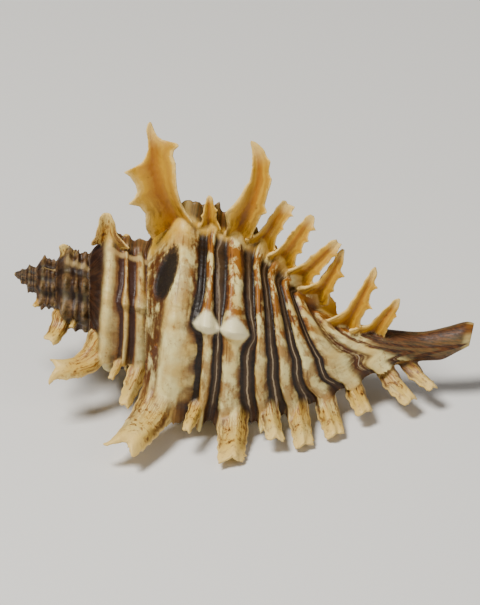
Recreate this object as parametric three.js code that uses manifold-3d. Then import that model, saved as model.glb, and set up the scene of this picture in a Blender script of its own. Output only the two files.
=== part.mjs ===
// A murex shell: a right-handed, heavily frilled sea snail's shell, grown as one piece of lime.
// Everything is made in the shell's own frame first: x runs along the coiling axis from the apex
// to the end of the siphonal canal, and the angle psi turns about it from +y towards +z, the way
// the shell grew. The finished solid is then laid down on its frond tips, mouth side under.
// Lengths are in millimetres and angles in degrees. Growth is counted in turns: 0 at the lip, and
// negative back towards the apex.
import * as THREE from "three";
import Module from "manifold-3d";
import { mergeVertices } from "three/addons/utils/BufferGeometryUtils.js";

// ---- Driving dimensions ----
const LENGTH = 105; // apex to canal tip, along the axis
const LIP_ANGLE = 148; // where the last varix, the thickened lip, stands
const VARICES_PER_TURN = 3;
const WHORLS = 7;

// Outline of the last whorl in a plane through the axis, at the lip: [along the axis, radius].
const WHORL_OUTLINE = [
  [26, 0], [30, 7], [34, 15], [37, 20.5], [40, 23.6], [44, 25], [50, 25], [56, 24.2], [62, 22],
  [68, 18.6], [73, 14.8], [78, 10.8], [83, 7.2], [88, 4.6], [95, 2.2], [102, 0.3], [110, 0],
];
const CANAL_OUTLINE = [
  [50, 0], [60, 6], [70, 6.2], [80, 5.2], [90, 4.2], [98, 3.9], [103.5, 3.4], [105, 2.4],
];
// Spiral cords, shoulder first. Each ends in one frond on every varix.
const CORDS = [40, 48.5, 55.5, 62, 68, 73, 78.5, 87.5, 95];
const SHOULDER_CORD = { width: 3.0, height: 1.8 };
// Ridge height of the lip's varix, the one before it, and all the earlier ones.
const VARIX_HEIGHTS = [1.8, 5.0, 2.6];
const VARIX_BACK = 13; // degrees that a varix takes to rise
const VARIX_FRONT = 7; // degrees that it takes to fall again
const NODE_SPREAD = 7; // degrees that the knobs midway between two varices cover

// The flat face round the mouth, the mouth's own hollow, and the slit along the canal.
const FACE_ANGLE = 62; // from the lip to the foot of the face's normal
const FACE_FALL = 42; // degrees over which the face falls away past that foot
const MOUTH = { at: 50, halfLength: 12, halfWidth: 7.2, offset: 10.5, depth: 75, centreRadius: 14.2 };
const SLIT = { from: 60, to: 106, width: 1.2, depth: 2.6 };

const BEND_START = 70; // where the canal starts to bend off the axis
const BEND_RATE = 0.0068; // per millimetre squared

// Fronds: open gutters that stand on the varices. lean is the tilt towards the canal and back the
// tilt against the growth, both at the root and at the tip. lead is how far before the varix the
// root starts. widths are half widths at the root, the middle and the tip.
const frond = (varix, cord, length, lean, back, widths, lead) =>
  ({ varix, cord, length, lean, back, widths, lead });
const FRONDS = [
  // the lip
  frond(0, 0, 27.0, [-4, -26], [-70, 15], [4.0, 2.9, 3.2], 26),
  frond(0, 1, 11.0, [-6, -6], [-60, 15], [1.8, 1.4, 0.9], 12),
  frond(0, 2, 21.0, [6, 6], [-65, 15], [3.2, 3.0, 2.8], 18),
  frond(0, 3, 12.0, [17, 17], [-65, 15], [2.1, 2.1, 2.1], 16),
  frond(0, 4, 16.0, [18, 14], [-65, 15], [2.1, 2.0, 2.0], 16),
  frond(0, 5, 15.5, [26, 22], [-65, 15], [2.0, 2.0, 2.0], 16),
  frond(0, 6, 10.0, [34, 30], [-65, 15], [2.1, 2.1, 2.0], 16),
  frond(0, 7, 14.0, [42, 36], [-50, 15], [2.1, 2.0, 1.9], 10),
  frond(0, 8, 10.5, [40, 32], [-50, 15], [1.9, 1.6, 1.0], 10),
  // the varix before the lip
  frond(1, 0, 24.0, [-36, -20], [-30, 20], [3.8, 4.6, 1.6], 4),
  frond(1, 1, 8.0, [-14, -14], [-30, 15], [2.2, 1.8, 0.6], 4),
  frond(1, 2, 22.5, [20, -22], [-30, 20], [3.2, 2.7, 0.9], 4),
  frond(1, 3, 12.5, [19, 19], [-30, 15], [2.3, 2.0, 1.6], 4),
  frond(1, 4, 13.5, [22, 20], [-30, 15], [2.0, 2.0, 1.2], 4),
  frond(1, 5, 13.5, [38, 30], [-30, 15], [1.9, 1.8, 1.4], 4),
  frond(1, 6, 14.0, [30, -3], [-30, 15], [1.9, 1.7, 0.8], 4),
  frond(1, 7, 15.0, [24, 6], [-30, 15], [2.4, 1.8, 0.7], 4),
  frond(1, 8, 10.0, [26, 20], [-30, 15], [2.2, 1.8, 0.6], 4),
  // the varix on the mouth's other side
  frond(2, 0, 26.0, [-30, -24], [-35, 15], [3.2, 3.4, 1.4], 8),
  frond(2, 1, 6.5, [-12, -12], [-35, 15], [1.8, 1.5, 0.6], 6),
  frond(2, 2, 17.0, [4, -8], [-35, 15], [2.7, 2.4, 1.2], 8),
  frond(2, 3, 9.5, [14, 14], [-35, 15], [1.9, 1.8, 1.4], 6),
  frond(2, 4, 17.8, [20, 18], [-35, 15], [1.9, 1.8, 1.2], 6),
  frond(2, 5, 10.0, [30, 26], [-35, 15], [1.7, 1.6, 1.1], 6),
  frond(2, 6, 9.0, [30, 20], [-35, 15], [1.6, 1.5, 0.9], 6),
  // the whorl before the last
  frond(3, 0, 16.0, [-15, -88], [-60, 10], [2.6, 2.2, 2.8], 16),
  frond(3, 1, 6.0, [-15, -15], [-60, 10], [1.2, 0.9, 0.6], 10),
  frond(3, 2, 11.0, [0, 0], [-60, 10], [2.0, 2.0, 1.6], 14),
  frond(4, 0, 7.0, [-18, -18], [-20, 15], [2.2, 1.5, 0.6], 4),
  frond(5, 0, 8.0, [-24, -30], [-35, 10], [2.0, 1.6, 0.8], 8),
  // the early whorls
  frond(6, 0, 6.5, [-20, -40], [-45, 10], [2.0, 1.7, 1.4], 10),
  frond(7, 0, 2.5, [-30, -30], [-25, 10], [1.3, 1.2, 0.8], 4),
  frond(8, 0, 3.0, [-25, -30], [-30, 10], [1.2, 1.0, 0.6], 6),
  frond(9, 0, 2.5, [-20, -20], [-25, 10], [0.9, 0.7, 0.5], 4),
];
const GUTTER_ANGLE = 70; // half the arc of a frond's open gutter
const FROND_WALL = 1.3; // at the back of a long frond
const ROOT_SINK = 2.0; // how deep a root starts below the surface

// How the shell lies at rest: turned about z and then tipped about x, on tips worn flat.
const REST = { turn: -12.6, tip: 61, worn: 0.6 };

// Mesh fineness.
const RINGS = 46;
const SPOKES = 60;

// ---- Growth ----
const rad = THREE.MathUtils.degToRad;
const clamp = THREE.MathUtils.clamp;
const lerp = THREE.MathUtils.lerp;
const bell = (u) => Math.exp(-u * u);

// How far along the axis, and how wide, the shell had grown at a given turn, as a share of the lip's.
function axialGrowth(turn) {
  return Math.exp(turn > -1 ? 0.4 * turn - 0.115 * turn * turn : -0.515 + 0.57 * (turn + 1));
}
function radialGrowth(turn) {
  return Math.exp(turn > -1 ? 0.45 * turn - 0.04 * turn * turn : -0.49 + 0.56 * (turn + 1));
}

// A smooth curve through an outline's points.
function smoothOutline(points) {
  const slope = points.map((p, i) => {
    const a = points[Math.max(i - 1, 0)];
    const b = points[Math.min(i + 1, points.length - 1)];
    return (b[1] - a[1]) / (b[0] - a[0]);
  });
  return (x) => {
    if (x <= points[0][0]) return points[0][1];
    const last = points.length - 1;
    if (x >= points[last][0]) return points[last][1];
    const i = points.findIndex((p) => p[0] > x) - 1;
    const h = points[i + 1][0] - points[i][0];
    const t = (x - points[i][0]) / h;
    const s = 1 - t;
    return Math.max(0,
      s * s * (1 + 2 * t) * points[i][1] + s * s * t * h * slope[i]
      + t * t * (3 - 2 * t) * points[i + 1][1] - t * t * s * h * slope[i + 1]);
  };
}
const whorlOutline = smoothOutline(WHORL_OUTLINE);
const canalOutline = smoothOutline(CANAL_OUTLINE);

// ---- The coiled body ----
// Radius of one whorl at x, at a given turn, with its cords, varices and knobs.
function whorlRadius(x, turn) {
  const at = x / axialGrowth(turn);
  const base = whorlOutline(at);
  if (base < 0.2) return radialGrowth(turn) * base;
  let radius = base;
  radius += SHOULDER_CORD.height * bell((at - CORDS[0]) / SHOULDER_CORD.width);

  const varix = Math.round(-turn * VARICES_PER_TURN);
  const past = (turn + varix / VARICES_PER_TURN) * 360;
  const ridge = bell(past / (past < 0 ? VARIX_BACK : VARIX_FRONT));
  const reach = clamp((at - 36) / 4, 0, 1) * clamp((92 - at) / 12, 0, 1);
  radius += ridge * reach * VARIX_HEIGHTS[Math.min(varix, 2)];

  const midway = Math.round(-turn * VARICES_PER_TURN - 0.5) + 0.5;
  const fromNode = (turn + midway / VARICES_PER_TURN) * 360;
  radius += bell(fromNode / NODE_SPREAD)
    * (0.7 * bell((at - CORDS[0]) / 3) + 2.2 * bell((at - CORDS[1]) / 2.2)
      + 2.7 * bell((at - CORDS[2]) / 2.6));
  return radialGrowth(turn) * radius;
}

function smoothMax(a, b, blend) {
  const d = clamp(0.5 + (0.5 * (a - b)) / blend, 0, 1);
  return b + (a - b) * d + blend * d * (1 - d);
}

// Radius of the whole body at x and psi, where psi runs from one turn before the lip up to it.
function bodyRadius(x, psi) {
  const lastTurn = (psi - LIP_ANGLE) / 360;
  let radius = 0;
  for (let n = 0; n < WHORLS; n++) {
    const turn = lastTurn - n;
    radius = smoothMax(whorlRadius(x, turn), radius, 0.5 * radialGrowth(turn));
  }
  radius = smoothMax(radius, faceRadius(x, psi - (LIP_ANGLE - 360)), 0.8);
  return smoothMax(radius, canalOutline(x) * clamp((x - 50) / 10, 0, 1), 0.8);
}

// Radius of the mouth's face: flat from the lip to the foot of its normal, and then falling away
// round the columella.
function faceRadius(x, pastLip) {
  const foot = whorlRadius(x, 0) * Math.cos(rad(FACE_ANGLE));
  const beyond = pastLip - FACE_ANGLE;
  return beyond < 0 ? foot / Math.cos(rad(beyond)) : foot * bell(beyond / FACE_FALL);
}

const bend = (x) => BEND_RATE * Math.max(0, x - BEND_START) ** 2;
const outward = (psi) => new THREE.Vector3(0, Math.cos(rad(psi)), Math.sin(rad(psi)));
const onward = (psi) => new THREE.Vector3(0, -Math.sin(rad(psi)), Math.cos(rad(psi)));
const alongAxis = new THREE.Vector3(1, 0, 0);

// A point of the shell's own frame from x, psi and radius, with the canal's bend.
function shellPoint(x, psi, radius) {
  return outward(psi).multiplyScalar(radius).add(new THREE.Vector3(x, bend(x), 0));
}

// ---- Meshes and solids ----
const wasm = await Module();
wasm.setup();

function solidOf(geometry) {
  geometry.deleteAttribute("normal");
  geometry.deleteAttribute("uv");
  const merged = mergeVertices(geometry, 1e-4);
  const mesh = new wasm.Mesh({
    numProp: 3,
    vertProperties: merged.attributes.position.array,
    triVerts: new Uint32Array(merged.index.array),
  });
  return new wasm.Manifold(mesh);
}

// A closed solid through rings of points, with a fan on each end. Rings turn so that its faces
// point out when seen along the direction in which they follow each other.
function loft(rings) {
  const count = rings[0].length;
  const centre = (ring) =>
    ring.reduce((sum, p) => sum.add(p), new THREE.Vector3()).divideScalar(count);
  const points = [...rings.flat(), centre(rings[0]), centre(rings.at(-1))];
  const faces = [];
  const first = rings.length * count;
  for (let i = 0; i < count; i++) {
    const j = (i + 1) % count;
    for (let r = 0; r + 1 < rings.length; r++) {
      const a = r * count + i;
      const b = r * count + j;
      faces.push(a, b, b + count, a, b + count, a + count);
    }
    const end = (rings.length - 1) * count;
    faces.push(first, j, i, first + 1, end + i, end + j);
  }
  const geometry = new THREE.BufferGeometry().setFromPoints(points);
  geometry.setIndex(faces);
  let solid = solidOf(geometry);
  if (solid.volume() < 0) {
    for (let i = 0; i < faces.length; i += 3) [faces[i], faces[i + 1]] = [faces[i + 1], faces[i]];
    geometry.setIndex(faces);
    solid = solidOf(geometry);
  }
  return solid;
}

function bodySolid() {
  const rings = [];
  for (let i = 0; i < RINGS; i++) {
    const x = 0.4 + (LENGTH - 0.4) * (i / (RINGS - 1)) ** 1.25;
    const ring = [];
    for (let j = 0; j < SPOKES; j++) {
      const psi = LIP_ANGLE - 360 + (360 * j) / SPOKES;
      ring.push(shellPoint(x, psi, Math.max(bodyRadius(x, psi), 0.15)));
    }
    rings.push(ring);
  }
  return loft(rings);
}

// One frond: a tapering gutter that is open on the side the shell grew towards.
function frondSolid({ varix, cord, length, lean, back, widths, lead }) {
  const turn = -varix / VARICES_PER_TURN;
  const psi = LIP_ANGLE + 360 * turn;
  const x = CORDS[cord] * axialGrowth(turn);
  const rootPsi = psi - lead;
  const wrapped = LIP_ANGLE - ((((LIP_ANGLE - rootPsi) % 360) + 360) % 360);
  const up = outward(psi);
  const on = onward(psi);
  const rootRadius = bodyRadius(x, wrapped) - ROOT_SINK * radialGrowth(turn);
  const centre = shellPoint(x, rootPsi, rootRadius);
  const stations = length > 9 ? 6 : 4;
  const steps = 40;
  const wall = FROND_WALL * clamp(length / 14, 0.5, 1);
  const rings = [];
  for (let step = 0; step <= steps; step++) {
    const s = step / steps;
    const tilt = rad(lerp(lean[0], lean[1], s));
    const lift = rad(lerp(back[0], back[1], clamp(1.8 * s, 0, 1)));
    const direction = new THREE.Vector3()
      .addScaledVector(up, Math.cos(tilt) * Math.cos(lift))
      .addScaledVector(alongAxis, Math.sin(tilt))
      .addScaledVector(on, -Math.cos(tilt) * Math.sin(lift));
    if ((step * (stations - 1)) % steps < stations - 1) {
      const side = alongAxis.clone().addScaledVector(direction, -direction.x).normalize();
      const open = new THREE.Vector3().crossVectors(direction, side);
      if (open.dot(on) < 0) open.negate();
      const width = s < 0.5
        ? lerp(widths[0], widths[1], 2 * s)
        : lerp(widths[1], widths[2], 2 * s - 1);
      rings.push(gutterRing(centre, side, open, width, wall * (1 - 0.45 * s)));
    }
    centre.addScaledVector(direction, length / steps);
  }
  return loft(rings);
}

// Six points round a gutter's wall: four along its outside and two inside.
function gutterRing(centre, side, open, width, wall) {
  const arc = rad(GUTTER_ANGLE);
  const at = (q, inset) => {
    const across = (Math.sin(arc * q) / Math.sin(arc)) * (width - inset * Math.abs(q) * 0.3);
    const height = (0.8 * (1 - Math.cos(arc * q)) * width) / Math.sin(arc) + inset;
    return centre.clone().addScaledVector(side, across).addScaledVector(open, height);
  };
  const half = wall / 2;
  return [at(-1, 0), at(-0.45, -half), at(0.45, -half), at(1, 0), at(0.4, half), at(-0.4, half)];
}

// The mouth's hollow: oval sections from outside the face, in and back round the coil.
function mouthSolid() {
  const up = outward(LIP_ANGLE);
  const on = onward(LIP_ANGLE);
  const c = Math.cos(rad(FACE_ANGLE));
  const s = Math.sin(rad(FACE_ANGLE));
  const normal = up.clone().multiplyScalar(c).addScaledVector(on, s);
  const toLip = up.clone().multiplyScalar(s).addScaledVector(on, -c);
  const faceDistance = whorlRadius(MOUTH.at, 0) * c;
  const middle = normal.clone().multiplyScalar(faceDistance).addScaledVector(toLip, MOUTH.offset);
  const oval = (centre, x, across, scale) => {
    const ring = [];
    for (let i = 0; i < 16; i++) {
      const a = (2 * Math.PI * i) / 16;
      ring.push(centre.clone()
        .addScaledVector(alongAxis, x + MOUTH.halfLength * scale * Math.cos(a))
        .addScaledVector(across, MOUTH.halfWidth * scale * Math.sin(a)));
    }
    return ring;
  };
  const rings = [
    oval(middle.clone().addScaledVector(normal, 8), MOUTH.at, toLip, 1.35),
    oval(middle, MOUTH.at, toLip, 1),
  ];
  for (let i = 0; i <= 5; i++) {
    const share = i / 5;
    const psi = LIP_ANGLE - MOUTH.depth * share;
    const centre = outward(psi).multiplyScalar(MOUTH.centreRadius - 1.5 * share);
    rings.push(oval(centre, MOUTH.at - 5 * share, outward(psi), 0.94 - 0.4 * share));
  }
  return loft(rings);
}

// The narrow slit that runs from the mouth to the canal's tip.
function slitSolid() {
  const psi = LIP_ANGLE + FACE_ANGLE;
  const up = outward(psi);
  const across = onward(psi).multiplyScalar(SLIT.width / 2);
  const rings = [];
  for (let i = 0; i <= 8; i++) {
    const x = lerp(SLIT.from, SLIT.to, i / 8);
    const floor = Math.max(canalOutline(Math.min(x, LENGTH)) - SLIT.depth, 0.4);
    const low = up.clone().multiplyScalar(floor).add(new THREE.Vector3(x, bend(x), 0));
    const high = low.clone().addScaledVector(up, 12);
    rings.push([
      low.clone().sub(across), low.clone().add(across),
      high.clone().add(across), high.clone().sub(across),
    ]);
  }
  return loft(rings);
}

function shellSolid() {
  let shell = bodySolid();
  for (const one of FRONDS) shell = shell.add(frondSolid(one));
  return shell.subtract(mouthSolid()).subtract(slitSolid());
}

// Lays the shell on the floor, with its box's bottom centre at the origin.
function atRest(solid) {
  const tipped = solid.rotate([0, 0, REST.turn]).rotate([REST.tip, 0, 0]);
  const lowest = tipped.boundingBox().min[2];
  const worn = tipped.translate([0, 0, -lowest - REST.worn]).trimByPlane([0, 0, 1], 0);
  const { min, max } = worn.boundingBox();
  return worn.translate([-(min[0] + max[0]) / 2, -(min[1] + max[1]) / 2, 0]);
}

// ---- The part ----
function geometryOf(solid) {
  const mesh = solid.getMesh();
  const geometry = new THREE.BufferGeometry();
  geometry.setAttribute("position", new THREE.BufferAttribute(mesh.vertProperties, 3));
  geometry.setIndex(new THREE.BufferAttribute(mesh.triVerts, 1));
  geometry.computeVertexNormals();
  return geometry;
}

const shell = new THREE.Mesh(
  geometryOf(atRest(shellSolid())),
  new THREE.MeshStandardMaterial({ color: 0xd9c08a, roughness: 0.55, metalness: 0 }),
);
shell.name = "shell";

const group = new THREE.Group();
group.add(shell);
export default group;
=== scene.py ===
"""A murex shell lying mouth down on its frond tips, as one grown piece.

The shell is made in its own frame in millimetres: x runs along the coiling axis from the apex to
the end of the siphonal canal, and psi turns about it from +y towards +z, the way the shell grew.
Growth is counted in turns: 0 at the lip and negative back towards the apex.
"""
import math

import bpy
import numpy as np
from mathutils import Matrix, Vector
from mathutils.kdtree import KDTree


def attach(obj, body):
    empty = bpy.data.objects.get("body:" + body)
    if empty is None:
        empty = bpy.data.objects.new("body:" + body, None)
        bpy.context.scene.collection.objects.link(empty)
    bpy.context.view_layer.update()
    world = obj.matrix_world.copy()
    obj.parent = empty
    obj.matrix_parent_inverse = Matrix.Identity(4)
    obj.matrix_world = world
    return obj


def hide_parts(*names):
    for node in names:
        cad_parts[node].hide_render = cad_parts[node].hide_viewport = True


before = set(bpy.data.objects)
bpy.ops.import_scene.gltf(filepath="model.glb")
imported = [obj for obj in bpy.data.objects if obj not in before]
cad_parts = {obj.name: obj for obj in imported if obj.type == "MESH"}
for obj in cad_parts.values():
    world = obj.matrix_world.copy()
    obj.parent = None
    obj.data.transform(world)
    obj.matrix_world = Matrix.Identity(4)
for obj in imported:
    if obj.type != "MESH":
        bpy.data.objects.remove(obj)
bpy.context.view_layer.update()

bl_info = {
    "name": "Murex Shell",
    "version": (1, 0, 0),
    "blender": (4, 5, 0),
    "location": "3D View > Sidebar > Murex",
    "description": "Grows a frilled murex shell and sets it on a pale studio floor",
    "category": "Add Mesh",
}

MM = 0.001

# ---- Growth of the shell, in mm and degrees ----
LIP_ANGLE = 148.0
VARICES_PER_TURN = 3
WHORLS = 7
WHORL_OUTLINE = np.array([
    (26, 0), (30, 7), (34, 15), (37, 20.5), (40, 23.6), (44, 25), (50, 25), (56, 24.2), (62, 22),
    (68, 18.6), (73, 14.8), (78, 10.8), (83, 7.2), (88, 4.6), (95, 2.2), (102, 0.3), (110, 0),
], dtype=float)
CANAL_OUTLINE = np.array([
    (50, 0), (60, 6), (70, 6.2), (80, 5.2), (88, 4.2), (94, 3.5), (99, 3.9), (103, 4.3), (105, 3.6),
], dtype=float)
CORDS = (40, 48.5, 55.5, 62, 68, 73, 78.5, 87.5, 95)
SHOULDER_CORD = (3.0, 1.8)  # width and height
VARIX_HEIGHTS = np.array([1.8, 5.0, 2.6])
VARIX_BACK, VARIX_FRONT = 13.0, 7.0
UPPER_VARICES = (1, 4, 7, 10)  # the row that points up at rest, with webs between its fronds
KNOB_LATE = 7.0  # degrees past the middle
KNOBS = ((40.0, 3.0, 0.8), (48.7, 2.7, 2.7), (55.5, 3.0, 3.0))  # place, reach and height
SEAM_HOLLOW_AT, SEAM_HOLLOW_PAST = (38.0, 2.4), (40.0, 19.0)  # middle and half size, mm and degrees
SEAM_HOLLOW_DEPTH, SEAM_HOLLOW_LEAN = 2.4, 0.05
BLADE_BACK, BLADE_FRONT, BLADE_SPIRE = 3.2, 1.9, 3.0  # degrees, and how much wider on the spire
BLADE_HEIGHTS = {0: 3.2, 1: 3.1, 2: 2.6, 4: 3.4, 7: 6.5, 10: 5.0}  # mm, on these varices
BLADE_HEIGHT = 0.6  # on the others
CLIMB_AT, CLIMB_WIDTH, CLIMB_HEIGHT = 34.3, 2.9, 5.6  # where a varix climbs the whorl before it
RIBS_PER_TURN = 8.5  # on the first whorls
LIP_CROWDED_FROM, LIP_CROWDING = 79.0, 0.5  # the last cords close up towards the lip
FACE_ANGLE, FACE_FALL = 62.0, 42.0
BEND_START, BEND_RATE = 70.0, 0.0068
SHELL_LENGTH = 105.0

# Where each cord and each dark gap between cords runs: cords are whole numbers, and a gap's dark
# part runs from 0.3 to 0.7 between two of them.
CORD_COUNT_AT = np.array([
    (24.0, -2.0), (36.0, -0.5), (40, 0), (45.5, 0.3), (47.7, 0.7), (49.2, 1), (50.8, 1.3), (53.0, 1.7),
    (55.0, 2), (57.5, 2.3), (60.8, 2.7), (62.0, 3), (63.6, 3.3), (66.3, 3.7), (67.6, 4),
    (69.2, 4.3), (71.4, 4.7), (73, 5), (74.8, 5.3), (76.4, 5.7), (79.0, 6), (82.2, 6.3),
    (84.2, 6.7), (87.5, 7), (90.6, 7.3), (92.3, 7.7), (95, 8), (103, 9),
])

# ---- Rest ----
REST_TURN, REST_TIP = -12.6, 61.0
REST_SHIFT = (-52.563, 6.531, 26.958)


def bell(u):
    return np.exp(-u * u)


def ease(low, high, value):
    t = np.clip((value - low) / (high - low), 0, 1)
    return t * t * (3 - 2 * t)


def axial_growth(turn):
    return np.exp(np.where(turn > -1, 0.4 * turn - 0.115 * turn * turn, -0.515 + 0.57 * (turn + 1)))


def radial_growth(turn):
    return np.exp(np.where(turn > -1, 0.45 * turn - 0.04 * turn * turn, -0.49 + 0.56 * (turn + 1)))


def outline_curve(x, points):
    """A smooth curve through an outline's points."""
    xs, ys = points[:, 0], points[:, 1]
    slope = np.empty(len(xs))
    slope[1:-1] = (ys[2:] - ys[:-2]) / (xs[2:] - xs[:-2])
    slope[0] = (ys[1] - ys[0]) / (xs[1] - xs[0])
    slope[-1] = (ys[-1] - ys[-2]) / (xs[-1] - xs[-2])
    i = np.clip(np.searchsorted(xs, x, side="right") - 1, 0, len(xs) - 2)
    h = xs[i + 1] - xs[i]
    t = np.clip((x - xs[i]) / h, 0, 1)
    s = 1 - t
    y = (s * s * (1 + 2 * t) * ys[i] + s * s * t * h * slope[i]
         + t * t * (3 - 2 * t) * ys[i + 1] - t * t * s * h * slope[i + 1])
    return np.maximum(y, 0)


def smooth_max(a, b, blend):
    d = np.clip(0.5 + 0.5 * (a - b) / blend, 0, 1)
    return b + (a - b) * d + blend * d * (1 - d)


def since_varix(turn):
    """Number of the nearest varix, counted back from the lip, and degrees past it."""
    varix = np.round(-turn * VARICES_PER_TURN)
    return varix, (turn + varix / VARICES_PER_TURN) * 360


def since_knob(turn):
    """Degrees past the nearest row of knobs, midway between two varices."""
    midway = np.round(-turn * VARICES_PER_TURN - 0.5) + 0.5
    return (turn + midway / VARICES_PER_TURN) * 360 - KNOB_LATE


def cord_count(at, turn):
    """Which cord, or which part of a gap between cords, lies at this place of a whorl."""
    between = (-turn * VARICES_PER_TURN) % 1.0
    spread = 0.73 * np.clip(between - 0.33, 0, 1) * (1 - ease(0.82, 1.0, between))
    after = since_varix(turn)[1]
    fan = 0.14 * bell(after / np.where(after < 0, 13, 4))
    spread_at = at + np.maximum(0, at - 58) * spread - np.maximum(0, at - 56) * fan
    spread_at = spread_at + 4.5 * spread * bell((at - 50.3) / 1.6)
    spread_at = spread_at - 2.5 * fan * (at - 55) * bell((at - 55) / 4.5)
    bowed = ease(0, 0.3, between) * ease(0.95, 0.5, between)
    spread_at = spread_at - 0.28 * np.maximum(0, at - 80) * bowed
    spread_at = spread_at + LIP_CROWDING * np.maximum(0, at - LIP_CROWDED_FROM) * ease(-0.1, 0.0, turn)
    spread_at = spread_at - 1.7 * ease(0.5, 0.3, between) * bell((at - 46.3) / 1.8)
    count = np.interp(spread_at, CORD_COUNT_AT[:, 0], CORD_COUNT_AT[:, 1])
    past = since_knob(turn)
    for knob, reach in ((1, 0.62), (2, 0.75)):
        push = 0.55 * bell(past / np.where(past < 0, 11.0, 5.5))
        off = (count - knob) / reach
        count = count - (count - knob) * push * np.exp(-off ** 4)
    return count


def knob_rise(past, across, reach):
    """A knob's height: a point that widens and rises as the shell grew and then drops steeply."""
    grown = np.clip((past + 16) / 16, 0, 1)
    rise = np.where(past < 0, grown ** 1.7, np.clip(1 - past / 5.0, 0, 1) ** 0.8)
    return rise * bell(across / (reach * (0.4 + 0.6 * grown)))


def hollow_beside_seam(at, past):
    """The dark hollow just past each varix, next to the seam with the whorl before (its dark partly painted
    shade).
    """
    slanted = at + SEAM_HOLLOW_LEAN * (past - 36)
    across = (slanted - SEAM_HOLLOW_AT[0]) / SEAM_HOLLOW_AT[1]
    around = (past - SEAM_HOLLOW_PAST[0]) / SEAM_HOLLOW_PAST[1]
    return ease(1.3, 0.35, across ** 2 + around ** 2)


def plain_whorl(x, turn):
    """Radius of a whorl with its shoulder and its varices, without the fine relief."""
    at = x / axial_growth(turn)
    base = outline_curve(at, WHORL_OUTLINE)
    varix, past = since_varix(turn)
    ridge = bell(past / np.where(past < 0, VARIX_BACK, VARIX_FRONT))
    reach = np.clip((at - 36) / 4, 0, 1) * np.clip((92 - at) / 12, 0, 1)
    height = VARIX_HEIGHTS[np.clip(varix, 0, 2).astype(int)]
    grown = base + SHOULDER_CORD[1] * bell((at - CORDS[0]) / SHOULDER_CORD[0]) + ridge * reach * height
    return radial_growth(turn) * np.where(base > 0.2, grown, base)


def ripple(*waves):
    """A sum of sines that never repeats: (frequency, coordinate, phase) each."""
    return sum(np.sin(f * c + p) for f, c, p in waves) / len(waves)


def cord_relief(at, turn, count, early):
    """Raised cords with a thread in each gap, and the knobs."""
    gap = 1 - 2 * np.abs(count - np.round(count))  # 1 on a cord, 0 halfway between two
    near_lip = bell(np.minimum(since_varix(turn)[1], 0) / 16.0)
    cords = ((1.05 + 0.7 * near_lip) * ease(0.25, 0.8, gap) + 0.3 * bell(gap / 0.16)
             - 0.55 - 0.4 * near_lip)
    banded = ease(37, 39.5, at) * ease(101, 96, at)
    past = since_knob(turn)
    knobs = sum(height * knob_rise(past, at - place, reach) for place, reach, height in KNOBS)
    return banded * cords * (1 - 0.3 * early) + knobs * (1 - early)


def blade_relief(at, count, varix, after):
    """A frilled blade on each varix, low between its fronds."""
    webbed = np.select([varix == 1, varix == 4, varix >= 7],
                       [0.85 - 0.5 * ease(57, 63, at), 0.85, 0.3], 0.38)
    scallop = webbed + (1 - webbed) * bell((count - np.round(count)) / 0.3)
    frill = 0.2 * ripple((2.3, at, 0.4 + varix), (5.1, at, varix * 1.7))
    pleats = np.sin(at * 2.6 + varix) * np.select(
        [varix == 1, varix == 4, varix >= 7], [0.04, 0.1, 0.15], 0)
    height = np.select([varix == n for n in BLADE_HEIGHTS], list(BLADE_HEIGHTS.values()), BLADE_HEIGHT)
    height = height * np.where(varix == 0, 1 - 0.65 * ease(66, 80, at), 1.0)
    height = height * np.where(varix == 1, 1 - 0.7 * bell((at - 40) / 4), 1.0)
    stout = np.where(varix >= 7, BLADE_SPIRE, 1.0)
    blade = bell(after / (stout * np.where(after < 0, BLADE_BACK, BLADE_FRONT)))
    return blade * ease(36, 41, at) * ease(98, 90, at) * height * (scallop + frill + pleats)


def whorl_relief(x, turn):
    """Cords, knobs, frilled varix edges and growth folds, to add to a plain whorl."""
    at = x / axial_growth(turn)
    base = outline_curve(at, WHORL_OUTLINE)
    count = cord_count(at, turn)
    varix, after = since_varix(turn)
    early = ease(-1.75, -2.15, turn)
    relief = cord_relief(at, turn, count, early) + blade_relief(at, count, varix, after)

    climb = CLIMB_HEIGHT * bell((at - CLIMB_AT) / CLIMB_WIDTH) * bell(after / np.where(after < 0, 8.0, 6.5))
    relief = relief + climb * ease(-0.2, -0.25, turn)
    relief = relief - SEAM_HOLLOW_DEPTH * hollow_beside_seam(at, after) * ease(-0.5, -0.45, turn)

    # folds on the ramp above the shoulder, and the rough knobbed ribs of the early whorls
    ramp = ease(27, 30, at) * ease(40, 36.5, at)
    folds = np.sin(turn * 2 * np.pi * 34 + 0.6 * np.sin(at))
    relief = relief + 0.45 * ramp * folds * ease(-0.3, -0.6, turn)
    ribs = bell((((turn * RIBS_PER_TURN) % 1.0) - 0.5) / 0.27)
    knobby = (0.35 + 1.0 * bell((at - 40.5) / 2.8) + 0.7 * bell((at - 48.5) / 2.3)
              + 0.5 * bell((at - 55) / 2.2))
    relief = relief + early * 8.0 * (ribs - 0.35) * knobby * ease(28, 36, at)

    # growth lines that cross the cords
    arc = turn * 360
    lines = ripple((1.9, arc, 0.05 * at), (3.3, arc, 1.3 + 0.11 * at), (0.7, arc, 0.4 * np.sin(at / 6)))
    return radial_growth(turn) * (relief + 0.09 * lines) * ease(0.5, 4, base)


def face_radius(x, past_lip):
    foot = plain_whorl(x, np.zeros_like(x)) * math.cos(math.radians(FACE_ANGLE))
    beyond = past_lip - FACE_ANGLE
    flat = foot / np.cos(np.radians(np.clip(beyond, -89, 0)))
    return np.where(beyond < 0, flat, foot * bell(beyond / FACE_FALL))


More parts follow.
